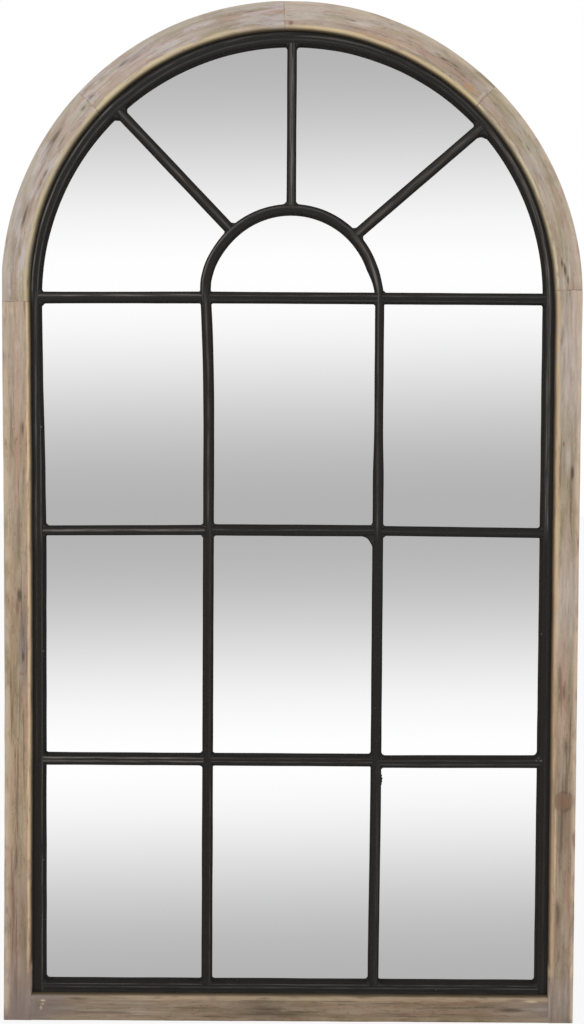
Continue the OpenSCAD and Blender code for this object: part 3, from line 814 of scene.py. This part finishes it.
# Width of each row's cross bars as shares of the true width, and how far their ends stand above the true
# height in millimetres, both from left to right
BAR_WIDTHS = {"top": (1.05, 1.05, 1.05), "middle": (0.92, 1.05, 0.9), "bottom": (1.04, 1.04, 1.04)}
BAR_ENDS = {
    "top": (-1.2, 0, 0, 0, 0, 0), "middle": (-1.8, -0.2, 0, 0, 0, -1.5), "bottom": (0, 0, 0, 0, -1.6, -0.6),
}
# Width of each spoke as a share of the true width, and size in millimetres of the welds on the rim to its
# right and left
SPOKES = {"spoke_left": (1, 6, 6.5), "spoke_centre": (0.91, 4, 3.6), "spoke_right": (1, 9.5, 5.5)}


def bar_end(row, face):
    """Height of a cross bar's middle line at an upright's face, counted from the left."""
    return ROWS[row] + BAR_ENDS[row][face] * MM


def make_bars():
    """All bars of the grid."""
    places = steps(rim_foot_z, path_length - rim_foot_z, 6 * MM)
    strays = [rim_stray(u) for u in places]
    path = [on_path(u, (rim_out + rim_in + stray) / 2) for u, stray in zip(places, strays)]
    bar("rim_hoop", path, [(rim_out - rim_in - stray) / 2 for stray in strays], 1, front=bar_front_y)
    sill_z, reach = (rim_foot_z + sill_top_z - sill_low) / 2, rim_in + tuck
    straight_bar("rim_sill", (-reach, sill_z), (reach, sill_z), sill_z - rim_foot_z, 2)
    foot_z = sill_top_z - tuck
    places = steps(foot_z, path_length - foot_z, 8 * MM)
    path = [on_path(u, hoop_r + hoop_swell * sin(arch_angle(u))) for u in places]
    path = [(x + leg_shift(z, 1 if x > 0 else -1), z) for x, z in path]
    bar("inner_hoop", path, [bar_half - leg_thin(u) for u in places], 3, front=bar_front_y)
    for row, z in ROWS.items():
        faces = row_reach(z)
        for i, (side, width) in enumerate(zip(("left", "middle", "right"), BAR_WIDTHS[row])):
            start = faces[2 * i] - tuck, bar_end(row, 2 * i)
            end = faces[2 * i + 1] + tuck, bar_end(row, 2 * i + 1)
            straight_bar(f"{row}_bar_{side}", start, end, bar_half * width, z * 10 + 4 + i)
    for seed, (name, (width, *_)) in enumerate(SPOKES.items()):
        straight_bar(name, *spoke_ends(name), bar_half * width, 20 + seed)


# Welds

def weld(shell, corner_at, first, second, leg, seed):
    """A weld in the corner between two bars, hollow from one bar to the other."""
    corner_at, first, second = Vector(corner_at), Vector(first), Vector(second)
    inside = corner_at - (first + second) * 2.2 * MM
    sunk = 0.5 * MM
    tip_one = corner_at + first * leg - second * sunk
    tip_two = corner_at + second * leg - first * sunk
    bend = corner_at + (first + second) * leg * 0.14
    rings = []
    for i in range(11):
        s = i / 10
        uneven = 1 + 0.10 * ripple(s, 0.3, seed)
        hollow = tip_one * (1 - s) ** 2 + bend * 2 * s * (1 - s) + tip_two * s ** 2
        hollow = inside + (hollow - inside) * uneven
        proud = 0.25 * MM + 0.15 * MM * ripple(s, 0.25, seed + 2)
        profile = ((0, bar_back_y - MM), (0, bar_front_y - proud), (0.35, bar_front_y - proud),
                   (0.62, bar_front_y - proud * 0.6), (0.82, bar_front_y + 0.3 * MM),
                   (0.94, bar_front_y + 1.2 * MM), (1, bar_front_y + 2.6 * MM), (1, bar_back_y - 0.3 * MM))
        ring = []
        for share, y in profile:
            spot = inside.lerp(hollow, share)
            # A faint painted highlight on the bead's hollow, and -1 on its sides for their own tone
            highlight_rub = -1.0 if share > 0.9 else 0.12 if share > 0.3 else 0.0
            ring.append(((spot.x, y, spot.y), Vector((spot.x * 3 + seed, spot.y * 3, y)), highlight_rub))
        rings.append(ring)
    shell.skin(rings)


def drop(shell, x, z, size, seed, y=bar_front_y, light=0.9):
    """A small drop of weld metal on the face of a bar, lightened by a painted highlight of the given
    strength.
    """
    rings = []
    for i in range(1, 8):
        polar = pi * i / 8
        ring = []
        for j in range(14):
            turn = 2 * pi * j / 14
            uneven = noise.noise(Vector((cos(turn), sin(turn) + polar, seed)))
            radius = size * sin(polar) * (1 + 0.2 * uneven)
            point = x + radius * cos(turn), y - size * 0.6 * cos(polar), z + radius * sin(turn)
            ring.append((point, Vector(point), light))
        rings.append(ring)
    shell.skin(rings)


UP, DOWN = 1, -1
# Sizes in millimetres of the welds that stand out, by row, upright's face and side of the bar
LARGE_WELDS = {
    ("middle", 3, DOWN): 14.5, ("middle", 4, DOWN): 4.6, ("middle", 1, UP): 4.2, ("middle", 1, DOWN): 4.4,
    ("bottom", 4, UP): 5.4, ("bottom", 1, UP): 4.4, ("middle", 0, UP): 4.6, ("top", 0, UP): 4.2,
    ("top", 0, DOWN): 4.4, ("bottom", 5, UP): 5.0,
}
# Drops in millimetres: number of the face, z and size at the uprights' edges, and elsewhere x, z and size
EDGE_DROPS = ((0, 687, 1), (0, 429, 1.1), (0, 186, 1), (5, 452, 1.2), (5, 245, 1.2))
FLAT_DROPS = ((-192, 40.6, 1.1), (188, 41, 1.2), (172, 35.6, 1), (-99, 573.5, 1.2),
              (287.5, 308, 1.4), (290.4, 304.8, 1.6), (285.2, 305.2, 1.2))
# A drip that hangs on the right leg below the bottom row
DRIP = ((105.2, 286.5, 1.8), (105.4, 283, 2.3), (105.4, 279.5, 2), (105.4, 276.5, 1.5))


def row_welds(shell, chance, seeds):
    """The welds of the cross bars, and those of the uprights on the sill."""
    for row, z in ROWS.items():
        for face, x in enumerate(row_reach(z)):
            half = bar_half * BAR_WIDTHS[row][face // 2]
            for up in (UP, DOWN):
                size = LARGE_WELDS.get((row, face, up), 2.2 + 1.6 * chance.random()) * MM
                if row == "top" and up == UP and 0 < face < 5:
                    size = 2.4 * MM
                place = x, bar_end(row, face) + up * half
                weld(shell, place, ((-1) ** face, 0), (0, up), size, next(seeds))
    sill_face = sill_top_z - sill_low
    for face, x in enumerate(row_reach(sill_face)):
        size = (2.4 + 1.8 * chance.random()) * MM
        weld(shell, (x, sill_face), ((-1) ** face, 0), (0, UP), size, next(seeds))


def spoke_welds(shell, chance, seeds, name, width, *rim_sizes):
    """The welds on both sides of a spoke, on the hoop and on the rim."""
    start, end = spoke_ends(name)
    outward = (end - start).normalized()
    side = Vector((-outward.y, outward.x))
    angle = atan2(end.y - spring_z, end.x)
    on_hoop = start, hoop_out + hoop_swell * sin(angle), hoop_side, 1
    on_rim = end, rim_in + rim_stray(arch_place(angle)), 0, -1
    for turn, rim_size in zip((-1, 1), rim_sizes):
        for foot, radius, centre_x, away in (on_hoop, on_rim):
            line = foot + side * turn * bar_half * width
            centre = Vector((centre_x, spring_z))
            reach = (line - centre).dot(outward)
            square = reach ** 2 - (line - centre).length_squared + radius ** 2
            touch = line + outward * (-reach + sqrt(max(0, square)))
            along = Vector((-(touch - centre).y, (touch - centre).x)).normalized()
            along *= 1 if along.dot(side * turn) > 0 else -1
            size = 3.0 + 2.2 * chance.random()
            if away < 0:
                size = rim_size
            weld(shell, touch, outward * away, along, size * MM, next(seeds))


def make_welds():
    """A weld in each corner of the grid, and the drops that the photograph shows."""
    shell = Shell("grain", "highlight_and_rub")
    chance = random.Random(7)
    seeds = itertools.count()
    row_welds(shell, chance, seeds)
    for name, numbers in SPOKES.items():
        spoke_welds(shell, chance, seeds, name, *numbers)
    inset = 1.4 * MM
    for seed, (face, z, size) in enumerate(EDGE_DROPS):
        x = row_reach(z * MM)[face]
        drop(shell, x + copysign(inset, x), z * MM, size * MM, seed)
    for seed, (x, z, size) in enumerate(FLAT_DROPS):
        drop(shell, x * MM, z * MM, size * MM, seed + 5)
    for seed, (x, z, size) in enumerate(DRIP):
        drop(shell, x * MM, z * MM, size * MM, seed + 13, y=bar_front_y + 2 * MM, light=0.1)
    made = shell.made("weld_beads", shaded_weld_paint, sharp=60)
    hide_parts("weld_fillets")
    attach(made, "frame")


# Materials of the CAD nodes that stay

def mirror_material():
    """Clean silvered glass."""
    material, tree, shader = new_material("silvered_glass")
    film = object_noise(tree, (3, 3, 3), detail=2)
    tint = blend(film, (0.985, 0.985, 0.985, 1), (0.97, 0.972, 0.972, 1))
    plug(shader, {"Base Color": tint, "Metallic": 1, "Roughness": 0.0})
    return material


def board_material():
    """Brown hardboard with fine pressed fibres."""
    material, tree, shader = new_material("hardboard_brown")
    fibres = object_noise(tree, (420, 420, 420), detail=5, roughness=0.7)
    clouds = object_noise(tree, (9, 9, 9), detail=4)
    shown = blend(clouds, colour(112, 78, 50), colour(132, 96, 64))
    shown = blend(smooth(fibres, 0.5, 0.75), shown, colour(154, 118, 84))
    finish_surface(shader, shown, 0.72, fibres, 0.2 * MM)
    return material


def metal_material(name, base, roughness):
    """Plated steel with faint cloudy spangle and fine scratches."""
    material, tree, shader = new_material(name)
    spangle = object_noise(tree, (260, 260, 260))
    scratch = object_noise(tree, (60, 1500, 1500), detail=2)
    shown = blend(spangle, colour(*base), colour(*[part * 0.86 for part in base]))
    rough = sums("MULTIPLY_ADD", scratch, 0.22, roughness)
    finish_surface(shader, shown, rough, scratch, 0.03 * MM)
    plug(shader, {"Metallic": 1})
    return material


def felt_material():
    """Grey pressed felt."""
    material, tree, shader = new_material("felt_grey")
    hairs = object_noise(tree, (1400, 1400, 1400), detail=4, roughness=0.8)
    shown = blend(hairs, colour(70, 68, 66), colour(112, 110, 106))
    finish_surface(shader, shown, 0.95, hairs, 0.4 * MM)
    plug(shader, {"Sheen Weight": 0.3})
    return material


def dowel_material():
    """Plain turned beech."""
    material, tree, shader = new_material("beech_dowel")
    lines = object_noise(tree, (500, 500, 60), detail=4)
    shown = blend(lines, colour(196, 164, 124), colour(222, 194, 156))
    finish_surface(shader, shown, 0.6, lines, 0.1 * MM)
    return material


def paint_node(name, material):
    """Gives a CAD node that stays a better material."""
    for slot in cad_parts[name].material_slots:
        slot.link = "OBJECT"
        slot.material = material


def islands(name):
    """Lowest and highest corners of each separate solid of a CAD node."""
    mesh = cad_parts[name].data
    keys = [tuple(round(part / MM, 2) for part in v.co) for v in mesh.vertices]
    parent = {key: key for key in keys}

    def root(key):
        while parent[key] != key:
            key = parent[key]
        return key
    for edge in mesh.edges:
        parent[root(keys[edge.vertices[0]])] = root(keys[edge.vertices[1]])
    groups = {}
    for key, vertex in zip(keys, mesh.vertices):
        groups.setdefault(root(key), []).append(vertex.co)
    corners = [[Vector([pick(axis) for axis in zip(*points)]) for pick in (min, max)]
               for points in groups.values()]
    return sorted(corners, key=lambda pair: tuple(pair[0]))


# Rings of a screw's head: share of its radius, and depth as a share of its dome
DOME = ((1, 1), (0.97, 0.6), (0.82, 0.2), (0.62, 0), (0.5, 0), (0.44, 0), (0.3, 0), (0.16, 0))


def make_screws(node, name, material):
    """Domed screws with a cross recess, seen from behind, each as long as its CAD solid."""
    shell = Shell()
    for low, high in islands(node):
        x, z, head_r = (low.x + high.x) / 2, (low.z + high.z) / 2, (high.x - low.x) / 2
        twist = ripple(x + z, 0.013, 3) * pi
        shank_r, dome = head_r * 0.45, min(1.6 * MM, (high.y - low.y) * 0.3)
        profile = [(0.3 * shank_r, low.y), (shank_r, low.y + 2 * MM), (shank_r, high.y - dome * 1.01)]
        profile += [(head_r * share, high.y - dome * below) for share, below in DOME]
        rings = []
        for radius, y in profile:
            ring = []
            for j in range(40):
                turn = 2 * pi * j / 40
                off = min(abs(radius * sin(turn)), abs(radius * cos(turn)))
                recess = y == high.y and radius < head_r * 0.56 and off < 0.13 * head_r
                depth = y - (dome * 0.8 if recess else 0)
                turn += twist
                ring.append(((x + radius * cos(turn), depth, z + radius * sin(turn)),))
            rings.append(ring)
        shell.skin(rings)
    made = shell.made(name, material, sharp=35)
    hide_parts(node)
    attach(made, "frame")


# The studio

camera_place = (-0.1 * MM, -2.0, 0.686)
camera_yaw, camera_pitch, camera_roll = radians(0.030), radians(2.723), radians(0.342)
camera_lens = 61.11
sensor = 36.0


def make_camera():
    """The photograph's viewpoint, a little above the mirror's middle."""
    data = bpy.data.cameras.new("camera")
    data.sensor_width = sensor
    data.lens = camera_lens
    data.clip_end = 100
    made = new_object("camera", data)
    level = Matrix.Rotation(-camera_yaw, 4, "Z") @ Matrix.Rotation(pi / 2 - camera_pitch, 4, "X")
    made.matrix_world = Matrix.Translation(camera_place) @ level @ Matrix.Rotation(camera_roll, 4, "Z")
    bpy.context.scene.camera = made


# The room that the mirror shows: soft bands from white to grey, by the slope of the view
BAND_MIDDLE = 218.4 / 255
BAND_SWING = 38.3 / 255
BAND_WHITE_SLOPE = 0.0881
BAND_PERIOD = 0.277
BAND_TILT = -0.0226
BAND_LOW, BAND_HIGH = -0.36, 0.26
# Strength of the even light, half size of the floor, and how plainly the floor shows its own white
ambient = 0.86
floor_size = 12.0
floor_plain = 0.86


def make_world():
    """White to the camera, soft bands in the glass and an even light on everything."""
    world = bpy.data.worlds.new("studio")
    bpy.context.scene.world = world
    tree = bare_tree(world)
    direction = add(tree, "SeparateXYZ", {0: add(tree, "TexCoord", {}).outputs["Generated"]})
    ahead = sums("MAXIMUM", sums("ABSOLUTE", direction.outputs["Y"]), 0.05)
    height = sums("MULTIPLY_ADD", direction.outputs["X"], BAND_TILT, direction.outputs["Z"])
    slope = sums("DIVIDE", height, ahead)
    slope = sums("MINIMUM", sums("MAXIMUM", slope, BAND_LOW), BAND_HIGH)
    turn = product(sums("SUBTRACT", slope, BAND_WHITE_SLOPE), 2 * pi / BAND_PERIOD)
    screen = sums("MULTIPLY_ADD", sums("COSINE", turn), BAND_SWING, BAND_MIDDLE)
    linear = sums("POWER", sums("DIVIDE", sums("ADD", screen, 0.055), 1.055), 2.4)
    rays = add(tree, "LightPath", {})
    shiny = sums("MAXIMUM", rays.outputs["Is Glossy Ray"], rays.outputs["Is Transmission Ray"])
    strength = add(tree, "Mix", {0: shiny, 2: ambient, 3: linear}).outputs[0]
    strength = add(tree, "Mix", {0: rays.outputs["Is Camera Ray"], 2: strength, 3: 1.0}).outputs[0]
    background = add(tree, "Background", {"Color": (1, 1, 1, 1), "Strength": strength})
    add(tree, "OutputWorld", {"Surface": background.outputs["Background"]})


def make_floor():
    """A plain pale floor with a faint shadow."""
    mesh = bpy.data.meshes.new("floor")
    corners = [(x * floor_size, y * floor_size, 0) for x, y in ((-1, -1), (1, -1), (1, 1), (-1, 1))]
    mesh.from_pydata(corners, [], [(0, 1, 2, 3)])
    material = bpy.data.materials.new("floor_pale")
    tree = bare_tree(material)
    lit = add(tree, "BsdfDiffuse", {"Color": (0.8, 0.8, 0.8, 1)})
    plain = add(tree, "Emission", {"Color": (1, 1, 1, 1), "Strength": 1.0})
    rays = add(tree, "LightPath", {})
    shown = sums("MAXIMUM", rays.outputs["Is Camera Ray"], rays.outputs["Is Glossy Ray"])
    shown = sums("MAXIMUM", shown, rays.outputs["Is Transmission Ray"])
    share = product(shown, floor_plain)
    mixed = add(tree, "MixShader", {0: share, 1: lit.outputs[0], 2: plain.outputs[0]})
    add(tree, "OutputMaterial", {"Surface": mixed.outputs[0]})
    mesh.materials.append(material)
    floor = new_object("floor", mesh)
    floor.visible_glossy = False


def make_lamp():
    """One large soft lamp, high on the left in front."""
    data = bpy.data.lights.new("key_lamp", "AREA")
    data.size = 1.6
    data.energy = 16
    place = Vector((-1.2, -2.4, 2.6))
    aim = (Vector((0, 0, 0.7)) - place).to_track_quat("-Z", "Y")
    new_object("key_lamp", data).matrix_world = Matrix.Translation(place) @ aim.to_matrix().to_4x4()


make_camera()
make_world()
make_floor()
make_lamp()

for (board_name, board_tones, board_seed), board_start, board_end in zip(BOARDS, joints, joints[1:]):
    wood_piece(board_name, board_start, board_end, on_path, board_tones, board_seed)
wood_piece("bottom_rail", -inner_r, inner_r + sight_stray(0), on_rail, RAIL_TONES, 10.1)
make_bars()
make_welds()

zinc = metal_material("zinc_plate", (186, 188, 190), 0.28)
steel = metal_material("screw_steel", (150, 150, 148), 0.3)
make_screws("backing_screws", "board_screws", steel)
make_screws("hanger_screws", "strap_screws", zinc)
for node_name in ("strap_left", "strap_right", "ring_left", "ring_right"):
    paint_node(node_name, zinc)
paint_node("mirror_sheet", mirror_material())
paint_node("backing_board", board_material())
paint_node("joint_dowels", dowel_material())
for node_name in ("wall_bumper_left", "wall_bumper_right"):
    paint_node(node_name, felt_material())
